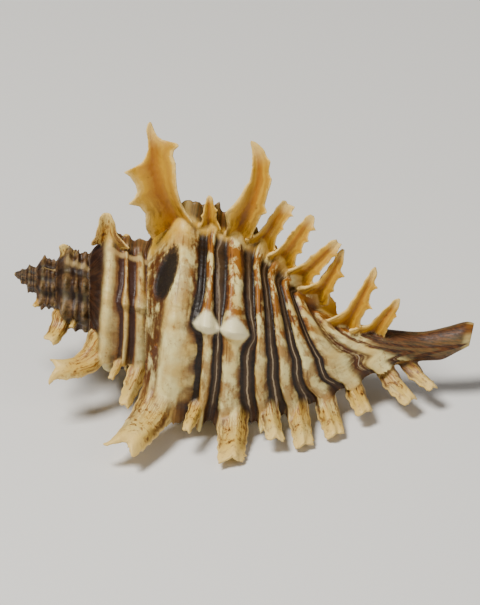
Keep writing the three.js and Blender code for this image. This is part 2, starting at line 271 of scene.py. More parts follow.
def canal_radius(x, psi):
    flatten = 1 - 0.22 * ease(80, 96, x) * np.sin(np.radians(psi)) ** 2
    flatten = flatten * (1 - 0.7 * ease(99, 105, x) * np.maximum(0, np.cos(np.radians(psi - 195))) ** 2)
    return outline_curve(x, CANAL_OUTLINE) * np.clip((x - 50) / 10, 0, 1) * flatten


def body_radius(x, psi, fine=False):
    """Radius of the whole body, with psi from one turn before the lip up to the lip."""
    last_turn = (psi - LIP_ANGLE) / 360
    radius = np.zeros(np.broadcast(x, psi).shape)
    for n in range(WHORLS):
        turn = last_turn - n
        whorl = plain_whorl(x, turn)
        if fine:
            whorl = whorl + whorl_relief(x, turn)
        radius = smooth_max(whorl, radius, (0.25 if fine else 0.5) * radial_growth(turn))
    radius = smooth_max(radius, face_radius(x, psi - (LIP_ANGLE - 360)), 0.8)
    return smooth_max(radius, canal_radius(x, psi), 0.8)


def bend(x):
    return BEND_RATE * np.maximum(0, x - BEND_START) ** 2


def shell_points(x, psi, radius):
    angle = np.radians(psi)
    return np.stack(np.broadcast_arrays(
        x, radius * np.cos(angle) + bend(x), radius * np.sin(angle)), -1)


def wrap_psi(psi):
    return LIP_ANGLE - (LIP_ANGLE - psi) % 360


# ---- Fronds: open gutters with prongs and teeth, rooted on the varices ----
GUTTER_DEPTH = 0.56
FROND_WALL = 1.35
ROOT_SINK = 2.0
LEFT, RIGHT = -1, 1  # towards the apex, towards the canal
# varix, cord, length, lean, back, half widths, lead, flares at the root, teeth (along, side, size),
# and the shape of the end: (across, share of the length)
SQUARE = ((-1, 0.97), (-0.5, 1.0), (0, 0.9), (0.4, 0.96), (1, 1.0))
FORKED = ((-1, 1.0), (-0.55, 0.93), (0.1, 0.83), (0.6, 0.92), (1, 0.97))
RAGGED = ((-1, 1.0), (-0.7, 0.96), (-0.2, 0.95), (0.1, 0.9), (0.45, 0.93), (0.7, 0.87), (1, 0.9))
CLEFT = ((-1, 0.98), (-0.5, 1.0), (0.0, 0.96), (0.3, 0.8), (0.6, 0.93), (1, 0.92))
POINTED = ((-1, 1.0), (1, 1.0))
FRONDS = (
    (0, 0, 28.6, (-4, -26), (-70, 15), (4.4, 4.3, 3.3), 30, (2.0, 1.5),
     ((0.62, LEFT, 0.5), (0.97, LEFT, 1.4)), FORKED),
    (0, 1, 15.4, (-8, -8), (-66, 15), (1.3, 1.7, 0.9), 20, (0.2, 0.2), ((0.7, RIGHT, 0.3),), SQUARE),
    (0, 2, 23.6, (6, 6), (-68, 15), (2.2, 3.6, 2.8), 24, (0.3, 0.3),
     ((0.86, RIGHT, 0.5), (0.95, RIGHT, 0.4)), RAGGED),
    (0, 3, 16.2, (17, 17), (-68, 15), (1.4, 2.3, 2.0), 22, (0.2, 0.2), ((0.93, RIGHT, 0.7),), SQUARE),
    (0, 4, 19.4, (19, 14), (-68, 15), (1.5, 2.5, 2.2), 22, (0.2, 0.2), ((0.9, RIGHT, 0.5),), CLEFT),
    (0, 5, 18.2, (26, 20), (-68, 15), (1.5, 2.7, 2.2), 22, (0.2, 0.2), (), CLEFT),
    (0, 6, 14.4, (34, 24), (-66, 15), (1.6, 2.4, 1.9), 22, (0.2, 0.2), ((0.9, RIGHT, 0.6),), CLEFT),
    (0, 7, 14.8, (50, 42), (-58, 15), (1.8, 2.6, 2.1), 22, (0.4, 0.4), ((0.92, RIGHT, 0.7),), CLEFT),
    (0, 8, 12.6, (52, 50), (-58, 15), (1.6, 2.2, 1.2), 26, (0.4, 0.4), ((0.8, RIGHT, 0.9),), SQUARE),

    (1, 0, 24.9, (-41, -33, -27, -21, -15), (-24, 20), (3.6, 4.4, 0.9), -3, (0, 0), (), POINTED),
    (1, 1, 8.0, (-14, -14), (-30, 15), (1.9, 1.6, 0.3), -3, (1.2, 1.2),
     ((0.45, LEFT, 0.7), (0.6, RIGHT, 0.6)), POINTED),
    (1, 2, 25.0, (14, 14, 4, -16, -50), (-24, 20), (3.2, 3.0, 0.9), -3, (0, 0), (), POINTED),
    (1, 3, 12.8, (19, 21), (-30, 15), (2.3, 2.0, 1.6), 0, (3.0, 2.0),
     ((0.55, RIGHT, 0.5), (0.84, RIGHT, 1.0)), SQUARE),
    (1, 4, 13.8, (22, 21), (-30, 15), (2.2, 2.1, 0.7), 0, (2.6, 1.8),
     ((0.42, RIGHT, 0.7), (0.62, RIGHT, 0.9), (0.84, RIGHT, 1.2), (0.6, LEFT, 0.5)), POINTED),
    (1, 5, 13.8, (38, 31), (-30, 15), (2.1, 2.0, 1.0), 0, (2.8, 1.8),
     ((0.4, RIGHT, 0.6), (0.8, RIGHT, 0.9), (0.5, LEFT, 0.4)), SQUARE),
    (1, 6, 14.0, (32, 4), (-30, 15), (2.2, 1.8, 0.3), 0, (5.0, 2.0),
     ((0.35, RIGHT, 0.6), (0.62, RIGHT, 1.5)), POINTED),
    (1, 7, 18.2, (22, 8), (-30, 15), (2.9, 1.9, 0.3), 0, (6.0, 2.6),
     ((0.53, RIGHT, 1.6), (0.78, RIGHT, 1.2)), POINTED),
    (1, 8, 12.2, (27, 22), (-30, 15), (2.6, 1.9, 0.3), 0, (5.0, 2.4), ((0.7, RIGHT, 0.9),), POINTED),

    (2, 0, 26.0, (-30, -24), (-35, 15), (3.2, 3.2, 1.4), 8, (3.0, 1.5),
     ((0.45, LEFT, 2.2), (0.7, RIGHT, 1.8)), POINTED),
    (2, 1, 6.5, (-12, -12), (-35, 15), (1.8, 1.5, 0.6), 6, (0.8, 0.8), (), POINTED),
    (2, 2, 17.0, (4, -8), (-35, 15), (2.7, 2.3, 1.2), 8, (1.5, 1.0),
     ((0.5, RIGHT, 1.0), (0.75, RIGHT, 0.9)), SQUARE),
    (2, 3, 9.5, (14, 14), (-35, 15), (1.9, 1.8, 1.4), 6, (0.8, 0.6), ((0.7, RIGHT, 0.8),), SQUARE),
    (2, 4, 17.8, (20, 18), (-35, 15), (1.9, 1.8, 1.2), 6, (0.8, 0.6),
     ((0.5, RIGHT, 0.8), (0.8, RIGHT, 0.9)), SQUARE),
    (2, 5, 10.0, (30, 26), (-35, 15), (1.7, 1.6, 0.9), 6, (0.8, 0.6), ((0.7, RIGHT, 0.8),), SQUARE),
    (2, 6, 9.0, (30, 20), (-35, 15), (1.6, 1.5, 0.7), 6, (0.8, 0.6), ((0.7, RIGHT, 0.7),), POINTED),

    (3, 0, 16.0, (-10, -88), (-60, 10), (3.3, 2.9, 3.0), 16, (1.0, 1.2),
     ((0.66, LEFT, 0.9), (0.97, LEFT, 0.8), (0.98, RIGHT, 1.0)), FORKED),
    (3, 1, 9.0, (-12, -12), (-60, 10), (1.2, 1.0, 0.6), 10, (0.3, 0.3), (), POINTED),
    (3, 2, 17.0, (-4, -8), (-60, 10), (2.1, 2.1, 1.2), 14, (0.4, 0.4), (), SQUARE),
    (4, 0, 7.2, (-14, -14), (-20, 15), (3.0, 2.3, 0.8), 1, (1.2, 4.0), (), POINTED),
    (4, 1, 3.0, (-5, -5), (-20, 15), (1.2, 1.0, 0.5), 4, (0.8, 0.8), (), POINTED),
    (5, 0, 8.0, (-24, -30), (-35, 10), (2.0, 1.6, 0.8), 8, (1.0, 0.8), (), POINTED),
    (5, 2, 5.0, (0, 0), (-35, 10), (1.4, 1.2, 0.8), 8, (0.4, 0.4), (), SQUARE),

    (6, 0, 8.2, (-4, -24), (-50, 10), (2.3, 2.0, 1.5), 10, (0.6, 0.6), ((0.9, LEFT, 0.4),), SQUARE),
    (6, 1, 3.0, (-10, -10), (-45, 10), (1.0, 0.8, 0.5), 8, (0.3, 0.3), (), POINTED),
    (7, 0, 2.8, (-30, -30), (-25, 10), (1.3, 1.2, 0.8), 4, (0.5, 0.8), (), POINTED),
    (8, 0, 3.0, (-25, -30), (-30, 10), (1.2, 1.0, 0.6), 6, (0.4, 0.4), (), POINTED),
    (9, 0, 2.8, (-20, -25), (-25, 10), (0.9, 0.7, 0.5), 4, (0.3, 0.3), (), POINTED),
)


# Outlines of the two great horns of varix 1: (share of the length, mm from the middle line)
HORN_OUTLINES = {
    (1, 0): {
        LEFT: ((0, 6.8), (0.12, 6.4), (0.23, 5.2), (0.31, 5.7), (0.35, 6.8), (0.375, 7.9), (0.395, 6.2),
               (0.43, 5.3), (0.49, 5.3), (0.56, 6.1), (0.615, 7.3), (0.628, 4.6), (0.65, 2.9), (0.69, 1.95),
               (0.75, 1.05), (0.83, 0.85), (0.93, 1.0), (0.985, 0.5), (1, 0.05)),
        RIGHT: ((0, 4.3), (0.11, 3.7), (0.21, 3.5), (0.35, 3.7), (0.49, 4.3), (0.58, 4.7), (0.66, 4.4),
                (0.71, 4.9), (0.755, 6.3), (0.79, 5.8), (0.805, 4.6), (0.825, 2.6), (0.87, 1.35),
                (0.935, 0.75), (0.985, 0.4), (1, 0.05)),
    },
    (1, 2): {
        LEFT: ((0, 2.6), (0.13, 3.4), (0.25, 5.4), (0.34, 4.4), (0.46, 3.5), (0.55, 3.1), (0.60, 2.4),
               (0.72, 2.1), (0.84, 1.6), (0.98, 0.5), (1, 0.1)),
        RIGHT: ((0, 3.0), (0.33, 2.6), (0.385, 3.6), (0.42, 2.5), (0.54, 2.4), (0.64, 2.8), (0.685, 2.0),
                (0.735, 2.1), (0.785, 2.6), (0.82, 1.8), (0.85, 1.75), (0.89, 1.6), (0.97, 0.7), (1, 0.1)),
    },
}


def directions(psi):
    """Unit vectors away from the axis and on in the way of growth."""
    a = math.radians(psi)
    return np.array([0, math.cos(a), math.sin(a)]), np.array([0, -math.sin(a), math.cos(a)])


def frond_sheets(frond, number):
    """Groove side and back of a frond as grids of points, with its share along and across."""
    varix, cord, length, lean, back, widths, lead, flares, teeth, end = frond
    turn = -varix / VARICES_PER_TURN
    psi = LIP_ANGLE + 360 * turn
    x = CORDS[cord] * float(axial_growth(turn))
    if varix == 0:
        x -= LIP_CROWDING / (1 + LIP_CROWDING) * max(0, x - LIP_CROWDED_FROM)
    root_psi = psi - lead
    up, on = directions(psi)
    along_axis = np.array([1.0, 0, 0])
    root = float(body_radius(np.array([x]), np.array([wrap_psi(root_psi)]))[0])
    root -= ROOT_SINK * float(radial_growth(turn))
    rows = 30 + int(3.2 * length)
    columns = 27
    s = np.linspace(0, 1, rows)
    tilt = np.radians(np.interp(s, np.linspace(0, 1, len(lean)), lean))
    lift = np.radians(back[0] + (back[1] - back[0]) * np.clip(1.8 * s, 0, 1))
    way = ((np.cos(tilt) * np.cos(lift))[:, None] * up + np.sin(tilt)[:, None] * along_axis
           - (np.cos(tilt) * np.sin(lift))[:, None] * on)
    steps = (way[1:] + way[:-1]) / 2 * (length / (rows - 1))
    centre = shell_points(np.array(x), np.array(root_psi), np.array(root)) + np.concatenate(
        [np.zeros((1, 3)), np.cumsum(steps, 0)])
    side = along_axis - way[:, :1] * way
    side /= np.linalg.norm(side, axis=1)[:, None]
    opening = np.cross(way, side)
    opening *= np.sign((opening @ on).mean())

    nearly_end = 0.35 * widths[1] + 0.65 * widths[2]
    width = np.interp(s, (0, 0.5, 0.93, 1), (widths[0], widths[1], nearly_end, widths[2]))
    drawn = HORN_OUTLINES.get((varix, cord))
    reach = {}
    for which, flare in ((LEFT, flares[0]), (RIGHT, flares[1])):
        if drawn:
            reach[which] = np.interp(s, *zip(*drawn[which]))
            continue
        edge = width + flare * (1 - ease(0.02, 0.38, s)) ** 1.5 * (0.25 + 0.75 * ease(0.0, 0.15, s))
        edge = edge + 0.10 * np.sin(s * length * 2.1 + number + which) * ease(0.1, 0.3, s)
        for place, tooth_side, size in teeth:
            if tooth_side == which:
                rise = 0.045 + 0.62 * size / length
                fall = 0.014 + 0.28 * size / length
                climb = np.clip((s - place + rise) / rise, 0, 1) ** 2.1
                drop = np.clip((place + fall - s) / fall, 0, 1) ** 1.4
                edge = edge + size * np.where(s < place, climb, drop)
        reach[which] = edge
    q = np.linspace(-1, 1, columns)
    across = np.where(q[None] < 0, q[None] * reach[LEFT][:, None], q[None] * reach[RIGHT][:, None])
    share = np.abs(across) / width[:, None]
    depth = GUTTER_DEPTH * width[:, None] * 1.25 * share ** 2 / (1 + 0.42 * share ** 2)
    pleat = 0.11 * np.minimum(width, 3)[:, None] * np.cos(
        5.2 * across / np.maximum(width, 0.8)[:, None] + number)
    growth = 0.035 * np.sin(s[:, None] * length * 3.6 + 1.5 * q[None] ** 2 + number)
    depth = depth + (pleat + growth) * ease(0.0, 0.25, s)[:, None] * ease(0, 0.8, width)[:, None]
    wall = FROND_WALL * np.clip(length / 14, 0.6, 1) * (1 - 0.4 * s)[:, None] * (1 - 0.45 * q[None] ** 2)
    wall = np.maximum(wall, 0.62)

    cut = np.interp(q, [e[0] for e in end], [e[1] for e in end])
    rows_at = s[:, None] * (1 + (cut[None] - 1) * ease(0.6, 1, s)[:, None]) * (rows - 1)
    low = np.clip(np.floor(rows_at).astype(int), 0, rows - 2)
    part = (rows_at - low)[..., None]

    def stretched(values):
        return values[low] * (1 - part) + values[low + 1] * part

    middle = stretched(centre) + across[..., None] * stretched(side)
    normal = stretched(opening)
    front = middle + (depth + wall / 2)[..., None] * normal
    rear = middle + (depth - wall / 2)[..., None] * normal
    return front, rear, np.broadcast_to(s[:, None], across.shape), np.broadcast_to(q[None], across.shape)


# ---- Meshes ----
def tube(rings):
    """Vertices and faces of a closed tube through rings of points, capped with fans."""
    count, around = rings.shape[:2]
    points = np.concatenate([rings.reshape(-1, 3), rings[0].mean(0)[None], rings[-1].mean(0)[None]])
    i = np.arange(around)
    j = (i + 1) % around
    k = np.arange(count - 1)[:, None] * around
    quads = np.stack([i + k, j + k, j + k + around, i + k + around], -1).reshape(-1, 4)
    first, last = count * around, count * around + 1
    end = (count - 1) * around
    caps = np.concatenate([
        np.stack([np.full(around, first), j, i], -1),
        np.stack([np.full(around, last), end + i, end + j], -1),
    ])
    if signed_volume(points, quads, caps) < 0:
        quads, caps = quads[:, ::-1], caps[:, ::-1]
    return points, quads, caps


def signed_volume(points, quads, caps):
    triangles = np.concatenate([quads[:, :3], quads[:, [0, 2, 3]], caps])
    a, b, c = (points[triangles[:, n]] for n in range(3))
    return float(np.einsum("ij,ij->i", a, np.cross(b, c)).sum())


def frond_tube(frond, number):
    front, rear = frond_sheets(frond, number)[:2]
    return tube(np.concatenate([front, rear[:, ::-1]], axis=1))


def mesh_from(name, parts):
    """One mesh from several closed tubes, in millimetres in and metres out."""
    points = np.concatenate([p[0] for p in parts]) * MM
    offsets = np.cumsum([0] + [len(p[0]) for p in parts[:-1]])
    quads = np.concatenate([p[1] + o for p, o in zip(parts, offsets)])
    caps = np.concatenate([p[2] + o for p, o in zip(parts, offsets)])
    mesh = bpy.data.meshes.new(name)
    mesh.vertices.add(len(points))
    mesh.vertices.foreach_set("co", points.astype(np.float32).ravel())
    corners = np.concatenate([quads.ravel(), caps.ravel()]).astype(np.int32)
    mesh.loops.add(len(corners))
    mesh.loops.foreach_set("vertex_index", corners)
    starts = np.concatenate([
        np.arange(len(quads)) * 4, len(quads) * 4 + np.arange(len(caps)) * 3]).astype(np.int32)
    mesh.polygons.add(len(starts))
    mesh.polygons.foreach_set("loop_start", starts)
    mesh.update(calc_edges=True)
    mesh.validate()
    return mesh


def add_object(name, mesh):
    made = bpy.data.objects.new(name, mesh)
    bpy.context.scene.collection.objects.link(made)
    return made


def apply_modifiers(obj):
    """Puts the result of an object's modifiers into a mesh of its own."""
    result = bpy.data.meshes.new_from_object(obj.evaluated_get(bpy.context.evaluated_depsgraph_get()))
    obj.modifiers.clear()
    old = obj.data
    obj.data = result
    bpy.data.meshes.remove(old)
    return result


def remove_object(obj):
    mesh = obj.data
    bpy.data.objects.remove(obj)
    bpy.data.meshes.remove(mesh)


ROWS, SPOKES = 620, 760
ROW_CROWDING = 1.15  # the rows are closer together near the apex
BODY_FROM, LEAST_RADIUS = 0.4, 0.15


def body_tube():
    x = BODY_FROM + (SHELL_LENGTH - BODY_FROM) * np.linspace(0, 1, ROWS) ** ROW_CROWDING
    psi = LIP_ANGLE - 360 + 360 * np.arange(SPOKES) / SPOKES
    x, psi = np.broadcast_arrays(x[:, None], psi[None])
    radius = np.maximum(body_radius(x, psi, fine=True), LEAST_RADIUS)
    return tube(shell_points(x, psi, radius))


# The mouth: an oval in the flat face that leads in and back round the coil.
MOUTH_AT, MOUTH_LONG, MOUTH_WIDE, MOUTH_OFFSET = 50.0, 12.0, 7.2, 10.5
RIM_SCALE, RIM_POINTS, RIM_CRIMPS = 1.13, 140, 26
SLIT_FROM, SLIT_TO, SLIT_WIDE, SLIT_TALL = 60, 106, 1.2, 12
BORE = ((92, 0.8), (97, 1.5), (101, 2.0), (104, 2.5), (106.5, 3.1))  # place and radius
BORE_FLATNESS, BORE_POINTS = 0.75, 24


def face_frame():
    up, on = directions(LIP_ANGLE)
    c, s = math.cos(math.radians(FACE_ANGLE)), math.sin(math.radians(FACE_ANGLE))
    normal = up * c + on * s
    to_lip = up * s - on * c
    distance = float(plain_whorl(np.array([MOUTH_AT]), np.array([0.0]))[0]) * c
    return normal, to_lip, normal * distance + to_lip * MOUTH_OFFSET


def oval(centre, x, across, scale, points=64):
    a = np.linspace(0, 2 * np.pi, points, endpoint=False)
    crimp = 1 + 0.025 * np.sin(13 * a)
    return (centre[None] + np.outer(x + MOUTH_LONG * scale * crimp * np.cos(a), (1.0, 0, 0))
            + np.outer(MOUTH_WIDE * scale * crimp * np.sin(a), across))


def mouth_tube():
    normal, to_lip, middle = face_frame()
    rings = [oval(middle + out * normal, MOUTH_AT, to_lip, scale)
             for out, scale in ((8, 1.35), (1.5, 1.1), (0, 1))]
    for share in np.linspace(0, 1, 9):
        psi = LIP_ANGLE - 75 * share
        outward = directions(psi)[0]
        rings.append(oval(outward * (14.2 - 1.5 * share), MOUTH_AT - 5 * share, outward, 0.94 - 0.4 * share))
    return tube(np.array(rings))


def rim_tube():
    """The raised and slightly crimped rim of the mouth, as a closed ring's solid."""
    normal, to_lip, middle = face_frame()
    path = oval(middle, MOUTH_AT, to_lip, RIM_SCALE, RIM_POINTS)
    around = np.linspace(0, 2 * np.pi, 12, endpoint=False)
    tangent = np.roll(path, -1, 0) - np.roll(path, 1, 0)
    tangent /= np.linalg.norm(tangent, axis=1)[:, None]
    side = np.cross(tangent, normal)
    size = 1.25 + 0.22 * np.sin(np.arange(RIM_POINTS) * 2 * np.pi * RIM_CRIMPS / RIM_POINTS)
    ring = (path[:, None] + size[:, None, None] * (
        np.cos(around)[None, :, None] * side[:, None] + np.sin(around)[None, :, None] * normal))
    count, round_count = ring.shape[:2]
    i = np.arange(round_count)
    j = (i + 1) % round_count
    k = np.arange(count)[:, None] * round_count
    n = ((np.arange(count) + 1) % count)[:, None] * round_count
    quads = np.stack([i + k, j + k, j + n, i + n], -1).reshape(-1, 4)
    points = ring.reshape(-1, 3)
    none = np.zeros((0, 3), int)
    if signed_volume(points, quads, none) < 0:
        quads = quads[:, ::-1]
    return points, quads, none


def slit_tube():
    """The slit from the mouth to the canal's tip, with the canal's own bore."""
    up, on = directions(LIP_ANGLE + FACE_ANGLE)
    rings = []
    for x in np.linspace(SLIT_FROM, SLIT_TO, 60):
        floor = max(float(outline_curve(np.array(min(x, SHELL_LENGTH)), CANAL_OUTLINE)) - 2.6, 0.4)
        low = up * floor + np.array([x, float(bend(x)), 0])
        high = low + up * SLIT_TALL
        half = on * SLIT_WIDE / 2
        rings.append([low - half, low + half, high + half, high - half])
    return tube(np.array(rings))


def bore_tube():
    """The open end of the canal, wider towards its tip."""
    a = np.linspace(0, 2 * np.pi, BORE_POINTS, endpoint=False)
    return tube(np.array([
        np.stack([np.full(BORE_POINTS, x), float(bend(x)) + r * np.cos(a), BORE_FLATNESS * r * np.sin(a)], -1)
        for x, r in BORE]))


def cut(obj, tool_parts):
    for part in tool_parts:
        tool = add_object("cutter", mesh_from("cutter", [part]))
        modifier = obj.modifiers.new("cut", "BOOLEAN")
        modifier.operation = "DIFFERENCE"
        modifier.solver = "MANIFOLD"
        modifier.object = tool
        bpy.context.view_layer.update()
        apply_modifiers(obj)
        remove_object(tool)


def add_part(obj, name, parts):
    """Joins more closed solids to an object's mesh."""
    extra = add_object(name, mesh_from(name, parts))
    with bpy.context.temp_override(active_object=obj, selected_editable_objects=[obj, extra],
                                   selected_objects=[obj, extra]):
        bpy.ops.object.join()


def vertex_array(mesh):
    points = np.empty(len(mesh.vertices) * 3, np.float32)
    mesh.vertices.foreach_get("co", points)
    return points.reshape(-1, 3).astype(float)


def triangle_count(mesh):
    totals = np.empty(len(mesh.polygons), np.int32)
    mesh.polygons.foreach_get("loop_total", totals)
    return int((totals - 2).sum())


def rest_matrix():
    turn = Matrix.Rotation(math.radians(REST_TURN), 4, "Z")
    tip = Matrix.Rotation(math.radians(REST_TIP), 4, "X")
    return Matrix.Translation(Vector(REST_SHIFT) * MM) @ tip @ turn


def grow_mesh(voxel, triangles):
    """The whole shell as one closed skin, in the shell's own frame."""
    shell = add_object("murex_shell", mesh_from("murex_shell", [body_tube()]))
    cut(shell, [mouth_tube(), slit_tube(), bore_tube()])
    fronds = [frond_tube(f, n) for n, f in enumerate(FRONDS)]
    add_part(shell, "fronds", fronds + [rim_tube()])

    fuse = shell.modifiers.new("fuse", "REMESH")
    fuse.mode = "VOXEL"
    fuse.voxel_size = voxel
    apply_modifiers(shell)
    soften = shell.modifiers.new("soften", "SMOOTH")
    soften.factor = 0.5
    soften.iterations = 3
    mesh = apply_modifiers(shell)
    reduce = shell.modifiers.new("reduce", "DECIMATE")
    reduce.ratio = min(1.0, triangles / triangle_count(mesh))
    apply_modifiers(shell)
    return shell


# ---- What each point of the skin is ----
def dominant_turn(x, psi):
    """The turn of the whorl that shows at each point."""
    last_turn = (psi - LIP_ANGLE) / 360
    best = np.full(x.shape, -1.0)
    turn = last_turn.copy()
    for n in range(WHORLS):
        radius = plain_whorl(x, last_turn - n)
        turn = np.where(radius > best, last_turn - n, turn)
        best = np.maximum(best, radius)
    return turn, best


def nearest_fronds(points):
    """Each point's nearest frond: its number, the share along it and across it, and how far."""
    rows, sheets = [], []
    for number, frond in enumerate(FRONDS):
        front, rear, s, q = frond_sheets(frond, number)
        for sheet in (front, rear):
            sheets.append(sheet.reshape(-1, 3))
            rows.append(np.stack([np.full(s.size, number), s.ravel(), q.ravel()], -1))
    rows, sheets = np.concatenate(rows), np.concatenate(sheets)
    tree = KDTree(len(sheets))
    for i, p in enumerate(sheets):
        tree.insert(p, i)
    tree.balance()
    found = np.array([tree.find(p)[1:] for p in points])
    row = rows[found[:, 0].astype(int)]
    return row[:, 0].astype(int), row[:, 1], row[:, 2], found[:, 1]


def fade(value, *fades):
    """The product of fades, each from nothing at its first value to everything at its second."""
    made = 1.0
    for low, high in fades:
        made = made * ease(low, high, value)
    return made


# Fades, in mm along the axis or off a surface, degrees past a varix, turns, or cords
FROND_TOUCH, FROND_CLEAR = (1.6, 0.7), (0.0, 0.9)
ENAMEL_STEP, ENAMEL_ALONG, ENAMEL_ROUND = (-1.0, 0.2), ((30, 36), (86, 72)), (125, 95)
HOLLOW_DEEP, HOLLOW_ALONG = (0.5, 1.3), (30, 36)
CANAL_BROWN_FROM = ((-212, -180, -60, 30, 65, 110, 148), (92.5, 88, 80, 79, 81.5, 87, 92.5))
CANAL_FADE, CANAL_END, CANAL_END_PALE = (-1.0, 1.5), (102.8, 104.2), 0.6
CREST_BACK, CREST_NEAR_SEAM, CREST_FRONT = 6.0, 16.0, 8.0
CREST_FROM = (29, 36)  # on varix 1, on the others
STRIPES_RESUME, STRIPES_STOP, STRIPED_FROM = (6.5, 9.5), (-8, -5), (37.5, 40.5)
PEARLS = ((48.7, 3.0), (55.5, 3.3))
PEARL_RISE, PEARL_TURN = (0.2, 0.42), (-1.0, -0.8)
# The webs between fronds are dark brown, partly painted shade between and under the fronds.
WEB_FRONT = (4.2, 11.0, 18.0)  # how far a web shows past varix 1, varix 4 and the earlier ones
WEB_OFF_CORD, WEB_FROM, WEB_ENDS = (0.14, 0.24), (41, 42.5), (66, 58)
SHELF_WIDE = (4.8, 9.0)  # past varix 1, past the others
SHELF_ALONG = ((38, 41), (60, 57))
RAMP_ALONG, AGE = ((27, 31), (40.5, 37)), (-1.45, -2.1)
LIP_FROND_BLEND = (0.22, 0.5)
AMBER_OF_VARIX = np.array([0.25, 1.0, 0.55, 0.45, 0.35, 0.5, 0.25, 0.25, 0.5, 0.6])


def varix_values(at, count, varix, past, on_face, on_frond):
    """Faces, webs (partly painted shade) and shelves beside the varices, and where the stripes stop for them.
    """
    webbed = np.isin(varix, UPPER_VARICES)
    sheet_from = np.where(varix == 1, *CREST_FROM)
    in_front = np.where(at < sheet_from + 14, CREST_NEAR_SEAM, CREST_FRONT)
    crest = bell(past / np.where(past < 0, CREST_BACK, in_front))
    crest = crest * ease(sheet_from - 1, sheet_from + 3, at) * ease(99, 92, at)

    front_to = np.select([varix == 1, varix == 4, webbed], WEB_FRONT, 3.0)
    behind = 1 - 0.9 * webbed * fade(past, STRIPES_STOP)
    striped = np.where(past > 0, fade(past, STRIPES_RESUME), behind)
    striped = striped * fade(at, STRIPED_FROM) * (1 - ease(0.3, 0.9, on_face))
    below_web = (varix > 1) & webbed & (past > 0)
    striped = striped * np.where(below_web, ease(front_to, front_to + 6, past), 1.0)

    # The dark web between the fronds: partly its own brown, partly painted shade between and under the
    # fronds.
    back_to = np.select([varix == 0, webbed], [7.0, 6.0], 4.0)
    web_brown_and_shade = ease(-back_to - 3, -back_to, past) * ease(front_to + 2, front_to, past)
    web_brown_and_shade = web_brown_and_shade * (1 - ease(0.1, 0.5, on_frond)) * fade(at, WEB_FROM)
    web_brown_and_shade = web_brown_and_shade * np.maximum(fade(np.abs(count - np.round(count)), WEB_OFF_CORD), 0.85 * webbed)
    web_brown_and_shade = web_brown_and_shade * np.where(varix == 1, fade(at, WEB_ENDS), 1.0)

    shelf_to = front_to + np.where(varix == 1, *SHELF_WIDE)
    shelf = ease(front_to - 0.7, front_to + 1.3, past) * ease(shelf_to, shelf_to - 3, past)
    shelf = 0.8 * shelf * webbed * fade(at, *SHELF_ALONG)
    return {"crest": crest, "striped": striped, "web_brown_and_shade": web_brown_and_shade, "shelf": shelf}


def stain(count, turn):
    """How strongly the cords are marked with ochre and rust."""
    between = (-turn * VARICES_PER_TURN) % 1.0
    marked = (0.65 + 0.35 * ease(0.3, 0.55, between)) * (0.3 + 0.7 * ease(0.1, 0.4, count))
    marked = np.maximum(marked, 0.9 * ease(0.16, 0.0, between))
    marked = marked * (1 + 0.7 * ease(0.45, 0.62, between)) * (1 - 0.5 * ease(-0.35, -0.5, turn))
    return marked * (1 - 0.75 * ease(5.6, 6.2, count) * ease(-0.3, -0.2, turn))


def paint_attributes(mesh):
    """Stores on the mesh what its material needs: cords, fronds, varices, mouth, canal and age."""
    points = vertex_array(mesh) / MM
    x = points[:, 0]
    y = points[:, 1] - bend(x)
    radius = np.hypot(y, points[:, 2])
    psi = wrap_psi(np.degrees(np.arctan2(points[:, 2], y)))
    psi = np.where(psi <= LIP_ANGLE - 360, psi + 360, psi)
    turn, whorl = dominant_turn(x, psi)
    relieved = body_radius(x, psi, fine=True)
    at = x / axial_growth(turn)
    count = cord_count(at, turn)
    varix, past = since_varix(turn)

    number, along, across, distance = nearest_fronds(points)
    length = np.array([f[2] for f in FRONDS])[number]
    frond_varix = np.array([f[0] for f in FRONDS])[number]
    on_frond = fade(distance, FROND_TOUCH) * fade(radius - relieved, FROND_CLEAR)
    blended = np.where(frond_varix == 0, fade(along, LIP_FROND_BLEND), 1.0)

    past_lip = psi - (LIP_ANGLE - 360)
    on_face = fade(face_radius(x, past_lip) - whorl, ENAMEL_STEP) * fade(x, *ENAMEL_ALONG)
    on_face = on_face * fade(past_lip, ENAMEL_ROUND)
    depth = np.minimum(body_radius(x, psi), relieved) - radius
    canal = fade(x - np.interp(wrap_psi(psi), *CANAL_BROWN_FROM), CANAL_FADE)
    knob = since_knob(turn)
    pearl = np.maximum(*(knob_rise(knob, at - place, reach) for place, reach in PEARLS))

    values = varix_values(at, count, varix, past, on_face, on_frond)
    of_whorl = AMBER_OF_VARIX[np.clip(varix, 0, 9).astype(int)] * values["crest"]
    values.update({
        "cord_count": count,
        "turn": turn,
        "on_frond": on_frond * blended,
        "along": along,
        "amber": np.where(on_frond > 0.5, AMBER_OF_VARIX[frond_varix], of_whorl),
        "hollow": fade(depth, HOLLOW_DEEP) * (1 - on_frond) * fade(x, HOLLOW_ALONG),
        "enamel": on_face,
        "canal": canal * (1 - CANAL_END_PALE * fade(x, CANAL_END)),
        "pearl": fade(pearl, PEARL_RISE) * fade(turn, PEARL_TURN),
        "seam": hollow_beside_seam(at, past) * ease(-0.5, -0.45, turn),
        "marked": stain(count, turn),
        "ramp": fade(at, *RAMP_ALONG),
        "age": fade(turn, AGE),
    })
    for name, value in values.items():
        layer = mesh.attributes.new(name, "FLOAT", "POINT")
        layer.data.foreach_set("value", value.astype(np.float32))

    around = turn * 150.0 * (1 - 0.75 * ease(74, 90, x))
    counted = count + 0.1 * np.minimum(0, at - 45.5)
    for name, parts in (("spiral", (counted * 4.0, around, x * 0)),
                        ("blade", (across * 3.0, along * length, number * 7.0)),
                        ("grown", points.T)):
        layer = mesh.attributes.new(name, "FLOAT_VECTOR", "POINT")
        layer.data.foreach_set("vector", np.stack(parts, -1).astype(np.float32).ravel())


